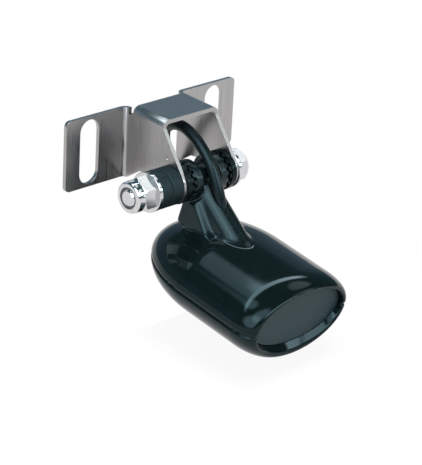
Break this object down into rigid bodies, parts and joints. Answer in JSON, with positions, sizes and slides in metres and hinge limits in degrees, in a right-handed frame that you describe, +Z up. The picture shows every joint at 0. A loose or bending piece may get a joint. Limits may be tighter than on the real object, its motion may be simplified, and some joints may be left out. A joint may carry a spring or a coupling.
{
  "type": "transom-mount sonar transducer",
  "caption": "Moulded sonar transducer on a toothed tilting pivot, held by a folded stainless hat bracket with two vertical slots for a boat's transom, with its cable coiled and tied.",
  "frame": {"origin": "on the mounting face of the bracket, midway between the two slots and at the middle of their height", "axes": "+Y towards the transom, out of the mounting face; +X to the right seen from behind the boat; +Z up"},
  "size_m": [0.1225, 0.0821, 0.2304],
  "materials": {
    "stainless_sheet": "brushed sheet",
    "bright_steel": "bright",
    "black_nylon": "satin",
    "white_nylon": "satin",
    "black_rubber": "matt",
    "gloss_black": "gloss",
    "satin_grey": "satin",
    "ceramic": "matt",
    "cork": "matt",
    "resin": "satin",
    "copper": "bright",
    "cable_jacket": "satin"
  },
  "bodies": {
    "bracket": {"bracket": "stainless_sheet", "ratchet_left": "black_nylon", "ratchet_right": "black_nylon", "rubber_washer_inner": "black_rubber", "rubber_washer_outer": "black_rubber", "flat_washer_left": "bright_steel", "flat_washer_right": "bright_steel", "pivot_bolt": "bright_steel", "lock_nut": "bright_steel", "nut_insert": "white_nylon", "cable_lead": "cable_jacket", "cable_coil": "cable_jacket", "cable_tie": "black_nylon", "cable_tail": "cable_jacket", "connector": "black_rubber", "connector_pins": "copper"},
    "transducer": {"upper_housing": "gloss_black", "lower_cover": "gloss_black", "end_plate": "satin_grey", "ceramic_element": "ceramic", "cork_ring": "cork", "cork_pad": "cork", "potting": "resin", "lead_wires": "copper"}
  },
  "joints": [
    {"name": "tilt", "type": "hinge", "parent": "bracket", "child": "transducer", "pos_m": [0, -0.026, -0.0092], "axis": [-1, 0, 0], "range_deg": [-10, 60], "deforming": ["cable_lead"]}
  ]
}
